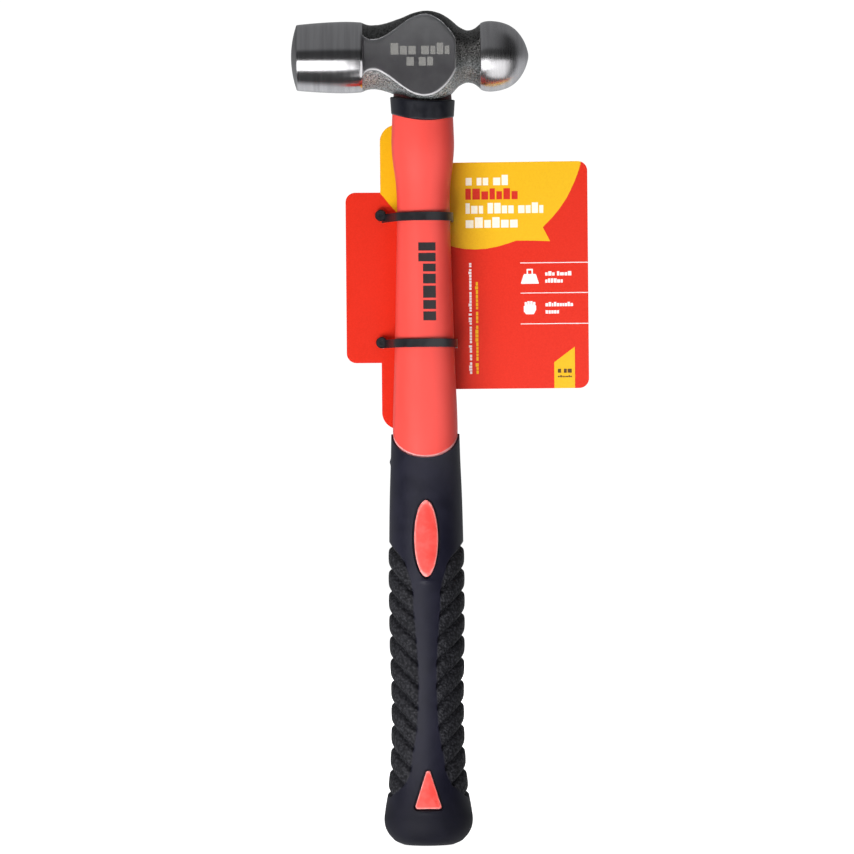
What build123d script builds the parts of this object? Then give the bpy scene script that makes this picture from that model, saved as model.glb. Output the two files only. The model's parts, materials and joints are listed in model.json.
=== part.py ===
"""Ball peen hammer with an 8 oz forged head, a two-colour overmoulded handle and its tied-on hang card.

Frame, in millimetres: +Z runs up the handle from the butt to the head, +X from the striking face to the
ball peen, and -Y is the front. The origin is the middle of the flat end of the butt, on the handle's axis.
"""

import os
from math import acos, atan2, cos, degrees, hypot, pi, radians, sin

from build123d import *

# ---- driving dimensions -------------------------------------------------------------------------
OVERALL = 290.0  # butt to the top of the head
HEAD_AXIS = OVERALL - 15.5  # height of the axis through the striking face and the ball
CHEEK = 10.0  # half the thickness across the ground cheeks
STEEL_G_PER_MM3 = 0.00785

# Striking end, a body of revolution about the head's axis.
FACE_X = -45.7
FACE_CROWN = 34.0  # radius of the crowned face
FACE_R = 10.8  # where the crown meets the edge rounding
RIM_R = 11.5  # the poll's radius behind the edge rounding
RIM_DEPTH = 0.8  # length of the edge rounding
POLL_R, POLL_WIDEST = 12.45, -27.0  # the poll's greatest radius, and where it is
POLL_END, POLL_END_R = -20.9, 12.15

# Ball end: its outline as turn from the tip in degrees and distance from BALL_X. It is a little pointed.
BALL_X = 24.9
BALL_OUTLINE = [
    (0.0, 12.2),
    (14.0, 11.96),
    (26.0, 11.87),
    (38.0, 11.9),
    (50.0, 12.02),
    (62.0, 12.08),
    (75.0, 12.08),
    (88.0, 12.2),
    (98.0, 12.4),
    (105.0, 12.5),
    (112.0, 12.4),
    (118.0, 12.2),
]
BALL_START = 20.4

# Forged middle: x, half height, half depth before the cheeks are ground, rise of the centre, squareness
# of the section (2 is an ellipse).
FORGING = [
    (POLL_END, 12.05, 12.05, 0.0, 2.0),
    (-19.2, 11.35, 11.35, 0.0, 2.0),
    (-16.5, 11.15, 11.15, 0.0, 2.0),
    (-11.8, 12.1, 11.6, -0.15, 2.3),
    (-7.4, 13.75, 12.0, -0.25, 3.0),
    (-3.5, 15.45, 12.1, -0.2, 3.7),
    (1.5, 16.4, 12.0, -0.1, 4.0),
    (6.0, 15.5, 11.4, -0.25, 3.7),
    (10.0, 12.95, 11.0, -0.2, 2.8),
    (13.0, 10.25, 10.1, 0.05, 2.2),
    (16.3, 9.1, 9.1, 0.0, 2.0),
    (18.6, 9.9, 9.9, 0.0, 2.0),
    (BALL_START, 11.4, 11.4, 0.0, 2.0),
]
CHEEK_END = 11.4  # the ground cheek stops here, and the neck is hollowed beyond it
NECK_X, NECK_DEPTH = 16.3, 8.6  # the narrowest place of the ball's neck, and its half depth

# Sections of the eye and of everything on the handle: z, half width in X, half depth in Y.
EYE = [(255.0, 10.75, 8.4), (262.0, 10.15, 7.65), (267.0, 9.7, 7.2), (277.0, 9.5, 7.0), (292.0, 10.6, 8.2)]
CORE_X, CORE_Y = 5.6, 4.2
CORE_BOTTOM, CORE_TOP = 14.0, 286.9
JACKET = [
    (7.0, 10.4, 8.9),
    (20.0, 10.0, 8.6),
    (50.0, 9.7, 8.3),
    (100.0, 10.3, 8.8),
    (144.3, 11.24, 9.6),
    (165.0, 10.6, 9.1),
    (182.5, 10.05, 8.65),
    (200.0, 9.6, 8.25),
    (214.0, 9.25, 7.95),
    (224.0, 9.15, 7.85),
    (230.5, 9.5, 8.1),
    (237.0, 10.35, 8.65),
    (243.0, 10.85, 9.0),
    (249.0, 10.75, 8.85),
    (258.0, 10.3, 8.1),
]
TENON = [(258.0, 10.3, 8.1), (262.0, 9.95, 7.45), (267.0, 9.4, 6.9), (284.0, 9.0, 6.5)]
RESIN_BOTTOM, RESIN_TOP = 262.5, 286.2
GRIP = [
    (8.4, 15.45, 13.6),
    (12.0, 15.1, 13.3),
    (16.5, 14.35, 12.6),
    (23.0, 13.45, 11.9),
    (32.0, 12.8, 11.35),
    (50.0, 12.5, 11.05),
    (70.0, 12.9, 11.4),
    (88.0, 13.05, 11.5),
    (104.0, 12.95, 11.4),
    (120.0, 12.65, 11.1),
    (137.0, 12.05, 10.4),
    (146.0, 11.85, 10.2),
]
BUTT = [(0.0, 8.9, 7.8), (0.85, 11.0, 9.6), (2.6, 13.05, 11.5), (5.4, 14.85, 13.05)]  # below the grip

# Grip details.
GRIP_TOP_SIDE, GRIP_TOP_FRONT = 143.0, 134.8  # height of its top edge at the sides and at front and back
GROOVES, GROOVE_TOP, GROOVE_PITCH = 12, 104.3, 7.76
GROOVE_WIDTH, GROOVE_DEPTH = 1.9, 0.85
GROOVE_FALL = 11.0  # how far a groove falls from the side to the front
# Smooth band down the front and back between the grooves: z, half width.
SPINE = [
    (106.0, 13.4),
    (100.6, 8.7),
    (93.7, 5.7),
    (80.0, 4.3),
    (52.0, 3.05),
    (33.3, 4.9),
    (20.1, 9.3),
    (16.4, 13.6),
]
OVAL_Z, OVAL_X, OVAL_H = 106.8, 4.15, 13.3  # upper island: middle, half width, half height
WEDGE_TOP, WEDGE_BOTTOM, WEDGE_X = 28.2, 13.2, 4.8  # lower island: apex, base, half base
WEDGE_ROUND = 0.8  # its corner radius
WINDOW_GAP = 0.5  # groove round each island of the jacket
ISLAND_INSET = 0.3  # how far an island's top lies below the grip's surface

# Collar below the head.
COLLAR_X, COLLAR_Y = 11.4, 9.9
COLLAR_TAPER = 0.5  # how much narrower it is at its bottom
COLLAR_TOP, COLLAR_HEIGHT = 260.0, 6.3
COLLAR_TOP_DIP, COLLAR_BOTTOM_DIP = 1.3, 1.8  # how far its edges fall at front and back
COLLAR_TILT = 0.6  # it sits askew: its left side is this much higher and its right side this much lower

# Hang card, from its front face at CARD_Y.
CARD_Y, CARD_T = 10.6, 0.5
CARD_BEND = 150.0  # radius of the bow behind the shaft
CARD_BOW = 12.5  # the bow's half width; the wings beyond it are flat
CARD_LEFT, CARD_RIGHT = -27.3, 57.5
TAB_LEFT, TAB_RIGHT = -15.1, 9.8
TAB_TOP, TAB_BOTTOM = 251.6, 144.7
LEFT_TOP, LEFT_BOTTOM = 227.8, 168.0
RIGHT_TOP, RIGHT_BOTTOM = 238.1, 158.6
TAB_RADIUS, WING_RADIUS = 6.0, 3.4

# Ties: height of the strap, and how far its button sits above it.
TIES = {"upper_tie": (218.6, 1.1), "lower_tie": (174.6, 0.5)}
TIE_WIDTH, TIE_T = 2.9, 0.8
TIE_CLEARANCE = 0.45  # loose enough to push along the shaft
TIE_LEFT, TIE_BACK = -15.0, 11.8  # left corner of the loop, and its run behind the card
LOOP_ROUND = 1.0  # radius of the loop's corners, at the middle of the strap
SLOT_MARGIN = 0.06  # room round a strap in the card's slots
BUTTON_R, BUTTON_T = 2.0, 2.3
BUTTON_EDGE = 0.4  # chamfer of its front edge
DIMPLE_R, DIMPLE_DEPTH = 0.75, 0.5
BUTTON_LIFT = 1.1  # the button's back lies this far in front of the card's middle


# ---- helpers ------------------------------------------------------------------------------------
def oval_loft(sections):
    """A smooth solid through horizontal ovals."""
    return loft([Plane.XY.offset(z) * Ellipse(x, y) for z, x, y in sections])


def slab(z_low, z_high, half=60.0):
    """A wide block between two heights."""
    return Pos(0, 0, (z_low + z_high) / 2) * Box(2 * half, 2 * half, z_high - z_low)


def grown(sections, amount):
    """The same sections, each wider by amount all round."""
    return [(z, x + amount, y + amount) for z, x, y in sections]


def size_at(sections, height):
    """Half width and half depth at a height, between two sections."""
    for (z0, x0, y0), (z1, x1, y1) in zip(sections, sections[1:]):
        if z0 <= height <= z1:
            share = (height - z0) / (z1 - z0)
            return x0 + share * (x1 - x0), y0 + share * (y1 - y0)
    raise ValueError(height)


def front_prism(sketch, y_from, y_to):
    """Extrudes a sketch drawn in x and z along Y, between two depths."""
    face = Plane.XZ.offset(-y_from) * sketch
    return extrude(face, amount=y_to - y_from, dir=(0, 1, 0))


def side_prism(sketch, half=40.0):
    """Extrudes a sketch drawn in y and z along X, both ways."""
    return extrude(Plane.YZ * sketch, amount=half, both=True)


# ---- head ---------------------------------------------------------------------------------------
def poll():
    """The striking end: a crowned face, a rounded edge and a side that swells towards the back."""
    crown_sag = FACE_CROWN - (FACE_CROWN**2 - FACE_R**2) ** 0.5
    apex, edge = (FACE_X, 0), (FACE_X + crown_sag, FACE_R)
    rim = (edge[0] + RIM_DEPTH, RIM_R)
    widest, end = (POLL_WIDEST, POLL_R), (POLL_END, POLL_END_R)
    swell = (POLL_R - RIM_R) / (POLL_WIDEST - rim[0])
    with BuildPart() as made:
        with BuildSketch(Plane.XZ):
            with BuildLine():
                RadiusArc(apex, edge, FACE_CROWN)
                TangentArc(edge, rim, tangent=(0.45, 1))
                Spline(rim, widest, tangents=[(1, 1.6 * swell), (1, 0)])
                TangentArc(widest, end, tangent=(1, 0))
                Polyline(end, (POLL_END, 0), apex)
            make_face()
        revolve(axis=Axis.X)
    return made.part


def ball():
    """The peen: a slightly pointed ball, cut off square where it meets its neck."""
    turns = [(radians(turn), reach) for turn, reach in BALL_OUTLINE]
    outline = [(BALL_X + reach * cos(turn), reach * sin(turn)) for turn, reach in turns]
    tip, last = outline[0], outline[-1]
    with BuildPart() as made:
        with BuildSketch(Plane.XZ):
            with BuildLine():
                Spline(*outline, tangents=[(0, 1), (-1, -0.7)])
                Polyline(last, (last[0], 0), tip)
            make_face()
        revolve(axis=Axis.X)
    keep = Pos(BALL_START + 20, 0, 0) * Box(40, 40, 40)
    return made.part & keep


def squared_oval(half_y, half_z, squareness, points=24):
    """A closed smooth outline between an ellipse and a rectangle."""

    def along(turn, half):
        return half * abs(turn) ** (2 / squareness) * (1 if turn > 0 else -1)

    turns = [2 * pi * (i + 0.5) / points for i in range(points)]
    outline = Spline(*[(along(cos(t), half_y), along(sin(t), half_z)) for t in turns], periodic=True)
    return make_face(outline)


def forging():
    """The eye and both necks, lofted along the head's axis."""
    sections = [
        Plane.YZ.offset(x) * Pos(0, rise) * squared_oval(depth, height, squareness)
        for x, height, depth, rise, squareness in FORGING
    ]
    return loft(sections)


def head():
    middle = forging()
    for side in (-1, 1):
        grind = Pos((POLL_END + 0.2 + BALL_START) / 2, side * (CHEEK + 10), 0)
        middle -= grind * Box(BALL_START - POLL_END - 0.2, 20, 60)
        # The hollow of the ball's neck runs from the cheek's end to the neck's narrowest place.
        step, rise = NECK_X - CHEEK_END, CHEEK - NECK_DEPTH
        radius = (step**2 + rise**2) / (2 * rise)
        hollow = Pos(NECK_X, side * (NECK_DEPTH + radius), 0) * Cylinder(radius, 60)
        middle -= hollow & (Pos((CHEEK_END + BALL_START) / 2, 0, 0) * Box(BALL_START - CHEEK_END, 60, 60))
    whole = Pos(0, 0, HEAD_AXIS) * (poll() + middle + ball())
    return whole - oval_loft(EYE)


# ---- handle -------------------------------------------------------------------------------------
def core():
    return Pos(0, 0, CORE_BOTTOM) * extrude(Ellipse(CORE_X, CORE_Y), amount=CORE_TOP - CORE_BOTTOM)


def island_prisms(margin=0.0, reach=20.0):
    """Prisms of both islands, or with a margin of their windows, on the front and on the back."""
    oval = Pos(0, OVAL_Z) * Ellipse(OVAL_X + margin, OVAL_H + margin)
    corners = [(0, WEDGE_TOP), (-WEDGE_X, WEDGE_BOTTOM), (WEDGE_X, WEDGE_BOTTOM)]
    wedge = fillet(make_face(Polyline(*corners, close=True)).vertices(), WEDGE_ROUND)
    if margin:
        wedge = offset(wedge, margin)
    made = Part()
    for outline in (oval, wedge):
        for y_from, y_to in ((-reach, -CORE_Y), (CORE_Y, reach)):
            made += front_prism(outline, y_from, y_to)
    return made


def jacket_body():
    return oval_loft(JACKET) + oval_loft(TENON)


def jacket(core_rod):
    """The moulded jacket: a tube over the core, with the islands that fill the grip's windows."""
    skin = oval_loft(grown(GRIP, -ISLAND_INSET))
    return jacket_body() + (island_prisms() & skin) - core_rod


def grooves():
    """The chevron grooves between the ribs: bands that fall from the sides to the front and back."""
    depth = max(y for _, _, y in GRIP) + 1.0
    bands = Part()
    for i in range(GROOVES):
        top = GROOVE_TOP - i * GROOVE_PITCH
        ridge = [(0, top), (depth, top - GROOVE_FALL), (depth, top - GROOVE_FALL - GROOVE_WIDTH)]
        ridge += [(0, top - GROOVE_WIDTH)]
        mirrored = [(-y, z) for y, z in reversed(ridge[1:-1])]
        bands += side_prism(make_face(Polyline(*ridge, *mirrored, close=True)))
    return bands


def spine():
    """The smooth band down the front and back, as a prism through the whole grip."""
    right = [(x, z) for z, x in SPINE]
    left = [(-x, z) for z, x in reversed(SPINE)]
    top, bottom = SPINE[0][0], SPINE[-1][0]
    with BuildSketch() as outline:
        with BuildLine():
            Spline(*right)
            Line(right[-1], left[0])
            Spline(*left)
            Line(left[-1], right[0])
        make_face()
    return front_prism(outline.sketch, -20, 20) + slab(top, top + 60) + slab(bottom - 40, bottom)


def grip_blank():
    """The grip's outer shape, cut to its peaked top edge."""
    blank = oval_loft(BUTT + GRIP)
    slope = (GRIP_TOP_SIDE - GRIP_TOP_FRONT) / size_at(GRIP, GRIP_TOP_FRONT)[1]
    reach = 20.0
    low = GRIP_TOP_SIDE - slope * reach
    roof = [(0, GRIP_TOP_SIDE), (reach, low), (reach, 160), (-reach, 160), (-reach, low)]
    return blank - side_prism(make_face(Polyline(*roof, close=True)))


def grip(blank):
    textured = oval_loft(grown(GRIP, 1.0)) - oval_loft(grown(GRIP, -GROOVE_DEPTH)) - spine()
    return blank - (grooves() & textured) - island_prisms(WINDOW_GAP) - jacket_body()


def collar():
    """The rubber ring under the head, a little askew; its edges dip at front and back."""
    bottom = COLLAR_TOP - COLLAR_HEIGHT
    low, high = bottom - COLLAR_BOTTOM_DIP - 1, COLLAR_TOP + 1
    ring = oval_loft([(low, COLLAR_X - COLLAR_TAPER, COLLAR_Y - COLLAR_TAPER), (high, COLLAR_X, COLLAR_Y)])
    top_left, top_right = (-COLLAR_X, COLLAR_TOP + COLLAR_TILT), (COLLAR_X, COLLAR_TOP - COLLAR_TILT)
    low_left, low_right = (-COLLAR_X, bottom + COLLAR_TILT), (COLLAR_X, bottom - COLLAR_TILT)
    with BuildSketch() as band:
        with BuildLine():
            ThreePointArc(top_left, (0, COLLAR_TOP - COLLAR_TOP_DIP), top_right)
            Line(top_right, low_right)
            ThreePointArc(low_right, (0, bottom - COLLAR_BOTTOM_DIP), low_left)
            Line(low_left, top_left)
        make_face()
    return (ring & front_prism(band.sketch, -20, 20)) - jacket_body()


def eye_resin(core_rod):
    """The adhesive that fills the eye round the handle and caps the jacket's end."""
    return (oval_loft(EYE) & slab(RESIN_BOTTOM, RESIN_TOP)) - jacket_body() - core_rod


# ---- hang card and ties -------------------------------------------------------------------------
def card_profile():
    """The card seen from above: a shallow bow behind the shaft, with a flat wing on each side."""
    centre = CARD_Y - CARD_BEND
    turn = CARD_BOW / CARD_BEND

    def edge_points(radius):
        bow = radius * sin(turn), centre + radius * cos(turn)
        wing = 70.0 - CARD_BOW
        tip = bow[0] + wing * cos(turn), bow[1] - wing * sin(turn)
        return bow, tip

    def mirrored(point):
        return -point[0], point[1]

    (bow_f, tip_f), (bow_b, tip_b) = edge_points(CARD_BEND), edge_points(CARD_BEND + CARD_T)
    with BuildSketch() as made:
        with BuildLine():
            ThreePointArc(mirrored(bow_f), (0, CARD_Y), bow_f)
            Polyline(bow_f, tip_f, tip_b, bow_b)
            ThreePointArc(bow_b, (0, CARD_Y + CARD_T), mirrored(bow_b))
            Polyline(mirrored(bow_b), mirrored(tip_b), mirrored(tip_f), mirrored(bow_f))
        make_face()
    return made.sketch


def card_outline():
    """The card's cut outline in x and z: a tab behind the shaft and a wing on each side."""

    def block(left, right, bottom, top, radius):
        middle = Pos((left + right) / 2, (bottom + top) / 2)
        return middle * RectangleRounded(right - left, top - bottom, radius)

    return (
        block(TAB_LEFT, TAB_RIGHT, TAB_BOTTOM, TAB_TOP, TAB_RADIUS)
        + block(CARD_LEFT, 0, LEFT_BOTTOM, LEFT_TOP, WING_RADIUS)
        + block(0, CARD_RIGHT, RIGHT_BOTTOM, RIGHT_TOP, WING_RADIUS)
    )


def loop_face(height, offset):
    """The area inside a tie's loop, seen from above: round the shaft's front and across the card's back."""
    shaft_x, shaft_y = size_at(JACKET, height)
    a, b = (half + TIE_CLEARANCE + TIE_T / 2 + offset for half in (shaft_x, shaft_y))
    back = TIE_BACK + offset
    corners = [(TIE_LEFT - offset, back), (a, back)]

    def touch(point, sign):
        """Angle of the place where a straight run from point meets the oval."""
        px, py = point[0] / a, point[1] / b
        return atan2(py, px) + sign * acos(1 / hypot(px, py))

    start, end = touch(corners[0], 1), touch(corners[1], -1)
    left, right = ((a * cos(t), b * sin(t)) for t in (start, end))
    while end < start:
        end += 2 * pi
    with BuildSketch() as made:
        with BuildLine():
            EllipticalCenterArc((0, 0), a, b, start_angle=degrees(start), arc_size=degrees(end - start))
            FilletPolyline(right, corners[1], corners[0], left, radius=LOOP_ROUND + offset)
        make_face()
    return made.sketch


def tie(height, button_rise):
    """One tie: a strap looped round shaft and card, with its round locking button on the card's front."""
    band = loop_face(height, TIE_T / 2) - loop_face(height, -TIE_T / 2)
    strap = Pos(0, 0, height - TIE_WIDTH / 2) * extrude(band, amount=TIE_WIDTH)
    back = CARD_Y - BUTTON_LIFT
    front = back - BUTTON_T
    at_button = Pos(TIE_LEFT, 0, height + button_rise)
    button = at_button * Pos(0, (front + back) / 2, 0) * Rot(90, 0, 0) * Cylinder(BUTTON_R, BUTTON_T)
    button = chamfer(button.edges().group_by(Axis.Y)[0], BUTTON_EDGE)
    button -= at_button * Pos(0, front, 0) * Rot(90, 0, 0) * Cylinder(DIMPLE_R, 2 * DIMPLE_DEPTH)
    return strap + button


def card():
    board = extrude(Pos(0, 0, TAB_BOTTOM - 10) * card_profile(), amount=TAB_TOP - TAB_BOTTOM + 20)
    made = board & front_prism(card_outline(), 0, 30)
    half, width = TIE_T / 2 + SLOT_MARGIN, TIE_WIDTH + 2 * SLOT_MARGIN
    for height, _ in TIES.values():
        slot = loop_face(height, half) - loop_face(height, -half)
        made -= Pos(0, 0, height - width / 2) * extrude(slot, amount=width)
    return made


# ---- write --------------------------------------------------------------------------------------
def main():
    os.makedirs("parts", exist_ok=True)
    core_rod, blank = core(), grip_blank()
    made = {
        "head": head(),
        "eye_resin": eye_resin(core_rod),
        "core": core_rod,
        "jacket": jacket(core_rod),
        "collar": collar(),
        "grip": grip(blank),
        "card": card(),
    }
    made.update({name: tie(*place) for name, place in TIES.items()})
    for name, shape in made.items():
        export_step(shape, f"parts/{name}.step")
    print("head", round(made["head"].volume * STEEL_G_PER_MM3, 1), "g of steel")


main()
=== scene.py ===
"""Looks of the ball peen hammer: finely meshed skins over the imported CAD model, procedural materials,
prints, soft studio light and the camera. Lengths in the shape code are millimetres until a mesh is made."""

import json
import math

import bmesh
import bpy
import numpy as np
from mathutils import Matrix, Vector, noise


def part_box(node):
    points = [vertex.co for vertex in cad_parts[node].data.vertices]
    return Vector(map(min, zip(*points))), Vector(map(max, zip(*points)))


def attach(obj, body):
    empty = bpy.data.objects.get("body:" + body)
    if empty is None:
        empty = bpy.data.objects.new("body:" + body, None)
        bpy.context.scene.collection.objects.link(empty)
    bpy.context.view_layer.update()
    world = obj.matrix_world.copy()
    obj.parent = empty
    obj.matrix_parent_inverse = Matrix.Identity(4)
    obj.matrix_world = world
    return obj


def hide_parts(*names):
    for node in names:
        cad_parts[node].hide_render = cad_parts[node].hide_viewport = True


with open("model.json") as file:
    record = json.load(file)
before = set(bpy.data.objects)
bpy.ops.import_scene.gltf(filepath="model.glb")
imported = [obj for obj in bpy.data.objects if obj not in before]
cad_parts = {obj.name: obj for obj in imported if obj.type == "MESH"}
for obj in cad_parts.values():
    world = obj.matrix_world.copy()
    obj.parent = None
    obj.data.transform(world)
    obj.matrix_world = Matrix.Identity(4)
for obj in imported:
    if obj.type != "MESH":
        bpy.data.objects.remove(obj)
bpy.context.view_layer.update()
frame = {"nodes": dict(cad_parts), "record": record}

MM = 0.001
HAIR = 0.005  # how far the grip's widest places stay inside the CAD box


def box_mm(node):
    """A CAD node's lowest and highest corner, in millimetres."""
    low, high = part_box(node)
    return np.array(low) / MM, np.array(high) / MM


HEAD_LOW, HEAD_HIGH = box_mm("head")
GRIP_HIGH, COLLAR_HIGH, CARD_HIGH = (box_mm(node)[1] for node in ("grip", "collar", "card"))

# ---- shape of the head ----
POLL_R, POLL_WIDEST = HEAD_HIGH[1], -27.0
FACE_X = HEAD_LOW[0]
# The ball's outline: turn from the tip in degrees, and distance from BALL_X. It is a little pointed.
BALL_OUTLINE = [
    (0.0, 12.2), (14.0, 11.96), (26.0, 11.87), (38.0, 11.9), (50.0, 12.02), (62.0, 12.08),
    (75.0, 12.08), (88.0, 12.2), (98.0, 12.4), (105.0, 12.5), (112.0, 12.4), (118.0, 12.2),
]
BALL_X = HEAD_HIGH[0] - BALL_OUTLINE[0][1]
cheek_mount = frame["record"]["mounts"][1]["pos_m"]  # on a ground cheek, level with the head's axis
HEAD_AXIS, CHEEK = cheek_mount[2] / MM, abs(cheek_mount[1]) / MM
FACE_CROWN, FACE_R = 34.0, 10.8
RIM_R, RIM_DEPTH = 11.5, 0.8
POLL_END, POLL_END_R = -20.9, 12.15
BALL_START = 20.4
# Forged middle: x, half height, half depth before the cheeks are ground, rise of the centre, squareness.
FORGING = [
    (POLL_END, 12.05, 12.05, 0.0, 2.0),
    (-19.2, 11.35, 11.35, 0.0, 2.0),
    (-16.5, 11.15, 11.15, 0.0, 2.0),
    (-11.8, 12.1, 11.6, -0.15, 2.3),
    (-7.4, 13.75, 12.0, -0.25, 3.0),
    (-3.5, 15.45, 12.1, -0.2, 3.7),
    (1.5, 16.4, 12.0, -0.1, 4.0),
    (6.0, 15.5, 11.4, -0.25, 3.7),
    (10.0, 12.95, 11.0, -0.2, 2.8),
    (13.0, 10.25, 10.1, 0.05, 2.2),
    (16.3, 9.1, 9.1, 0.0, 2.0),
    (18.6, 9.9, 9.9, 0.0, 2.0),
    (BALL_START, 11.4, 11.4, 0.0, 2.0),
]
CHEEK_START, CHEEK_END = POLL_END + 0.9, 11.4
CHEEK_LEDGE = 2.3  # how far the forging stands out past the cheeks at the poll
NECK_X, NECK_DEPTH = 16.3, 8.6
LOW_BEVEL = 0.42  # width of the rounded edge along the bottom of each cheek
# The rough forging's lumps: height, size, and how far along its noise they are taken.
LUMPS = [(0.05, 1.6, 0.0), (0.035, 0.55, 40.0)]
# The eye, waisted in the middle: z, half width in X, half depth in Y.
EYE = [
    (255.0, 10.75, 8.4),
    (262.0, 10.15, 7.65),
    (267.0, 9.7, 7.2),
    (277.0, 9.5, 7.0),
    (292.0, 10.6, 8.2),
]
FAR_OUT = 99.0  # a half thickness past anything on the hammer

# ---- shape of the handle: z, half width in X, half depth in Y ----
JACKET = [
    (130.0, 10.9, 9.3),
    (144.3, 11.24, 9.6),
    (165.0, 10.6, 9.1),
    (182.5, 10.05, 8.65),
    (200.0, 9.6, 8.25),
    (214.0, 9.25, 7.95),
    (224.0, 9.15, 7.85),
    (230.5, 9.5, 8.1),
    (237.0, 10.35, 8.65),
    (243.0, 10.85, 9.0),
    (249.0, 10.75, 8.85),
    (258.0, 10.3, 8.1),
    (262.0, 9.95, 7.45),
    (267.0, 9.4, 6.9),
    (284.0, 9.0, 6.5),
]
SEAM_RISE, SEAM_WIDTH = 0.06, 0.22  # the jacket's moulding seams
GRIP = [
    (0.0, 8.9, 7.8),
    (0.85, 11.0, 9.6),
    (2.6, 13.05, 11.5),
    (5.4, 14.85, 13.05),
    (8.4, 15.45, 13.6),
    (12.0, 15.1, 13.3),
    (16.5, 14.35, 12.6),
    (23.0, 13.45, 11.9),
    (32.0, 12.8, 11.35),
    (50.0, 12.5, 11.05),
    (70.0, 12.9, 11.4),
    (88.0, 13.05, 11.5),
    (104.0, 12.95, 11.4),
    (120.0, 12.65, 11.1),
    (137.0, 12.05, 10.4),
    (146.0, 11.85, 10.2),
]
GRIP_TOP_SIDE, GRIP_TOP_FRONT = GRIP_HIGH[2], 134.8
GROOVES, GROOVE_TOP, GROOVE_PITCH = 12, 104.3, 7.76
GROOVE_HALF, GROOVE_DEPTH, RIB_BELLY = 1.15, 1.2, 0.36
# A groove's fall for each degree, and for each degree squared, round from the side.
GROOVE_FALL, GROOVE_STEEPEN = 0.066, 0.00088
PANEL_STEP = 0.14  # how far the ribbed panels lie below the smooth spine where they meet
# The rounded lip at the grip's top edge: inset and lift of each ring.
GRIP_LIP = [(0.12, -0.15), (0.35, -0.02), (0.8, -0.06), (1.8, -0.3), (2.6, -1.9)]
NUB_Z, NUB_RISE = 133.3, 0.35
# The smooth band down the front and back: z, half width.
SPINE = [
    (106.0, 13.4), (100.6, 8.7), (93.7, 5.7), (80.0, 4.3),
    (52.0, 3.05), (33.3, 4.9), (20.1, 9.3), (16.4, 13.6),
]
OVAL_Z, OVAL_X, OVAL_H = 106.8, 4.15, 13.3
WEDGE_TOP, WEDGE_BOTTOM, WEDGE_X, WEDGE_ROUND = 28.2, 13.2, 4.8, 0.8
WEDGE_Z = WEDGE_BOTTOM + (WEDGE_TOP - WEDGE_BOTTOM) / 3
WINDOW_GAP, WINDOW_DEPTH, ISLAND_INSET = 0.75, 1.3, 0.08
# The raised lip under each window: half width, height above the butt, rise.
WINDOW_LIPS = [(1.6, OVAL_Z - OVAL_H - 1.4, 0.38), (3.0, WEDGE_BOTTOM - 1.4, 0.24)]
# An island's surface from its middle out: share of its outline, and lift.
ISLAND = [(share, 0.12 * (1 - share**2)) for share in (0.02, 0.2, 0.4, 0.6, 0.78, 0.88, 0.94)]
ISLAND += [(0.965, -0.02), (0.985, -0.08), (1.0, -0.22), (1.0, -WINDOW_DEPTH - 0.2)]
COLLAR_HEIGHT, COLLAR_TILT, COLLAR_TAPER = 6.3, 0.6, 0.42
COLLAR_TOP_DIP, COLLAR_BOTTOM_DIP = 1.3, 1.8
# The collar's rounded edges: how far in from its side, and how far below its top or above its bottom.
COLLAR_TOP_EDGE = [(2.2, 0.0), (0.6, 0.0), (0.25, 0.05), (0.07, 0.2), (0.0, 0.45)]
COLLAR_BOTTOM_EDGE = [(0.02, 0.9), (0.1, 0.55), (0.3, 0.22), (0.62, 0.03), (0.9, 0.0), (2.2, 0.0)]
CARD_FACE = CARD_HIGH[1] - 0.5  # the card's front face at its middle
CARD_BEND, CARD_BOW = 150.0, 12.5  # radius and half width of its bow


# ---- small mathematics ----
def curve_through(table, column):
    """A smooth function through one column of a table whose first column is the place."""
    table = sorted(table)
    at = np.array([row[0] for row in table])
    value = np.array([row[column] for row in table])
    step = np.diff(at)
    pitch = np.diff(value) / step
    slope = np.empty(len(at))
    slope[1:-1] = (pitch[:-1] * step[1:] + pitch[1:] * step[:-1]) / (step[:-1] + step[1:])
    slope[0], slope[-1] = pitch[0], pitch[-1]

    def evaluate(place):
        place = np.clip(np.asarray(place, float), at[0], at[-1])
        i = np.clip(np.searchsorted(at, place, side="right") - 1, 0, len(step) - 1)
        t = (place - at[i]) / step[i]
        start = value[i] * (1 + 2 * t) * (1 - t) ** 2 + slope[i] * step[i] * t * (1 - t) ** 2
        end = value[i + 1] * t * t * (3 - 2 * t) + slope[i + 1] * step[i] * t * t * (t - 1)
        return start + end

    return evaluate


def soft_min(a, b, width):
    """The smaller of two values, with the corner between them rounded over a width."""
    share = np.clip(0.5 + 0.5 * (b - a) / width, 0, 1)
    return b * (1 - share) + a * share - width * share * (1 - share)


def ease(value, low, high):
    """0 below low, 1 above high, and a smooth step between."""
    t = np.clip((np.asarray(value, float) - low) / (high - low), 0, 1)
    return t * t * (3 - 2 * t)


def unit(vectors):
    """Vectors made one long."""
    return vectors / np.linalg.norm(vectors, axis=-1, keepdims=True)


def noise_at(points, scale):
    """Fractal noise, about -1 to 1, at points in millimetres with features of a given size."""
    flat = points.reshape(-1, 3) / scale
    made = [noise.fractal(Vector(p), 0.6, 2.1, 2) for p in flat]
    return np.array(made).reshape(points.shape[:-1])


# ---- meshes ----
def add_object(name, data):
    made = bpy.data.objects.new(name, data)
    bpy.context.scene.collection.objects.link(made)
    return made


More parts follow.
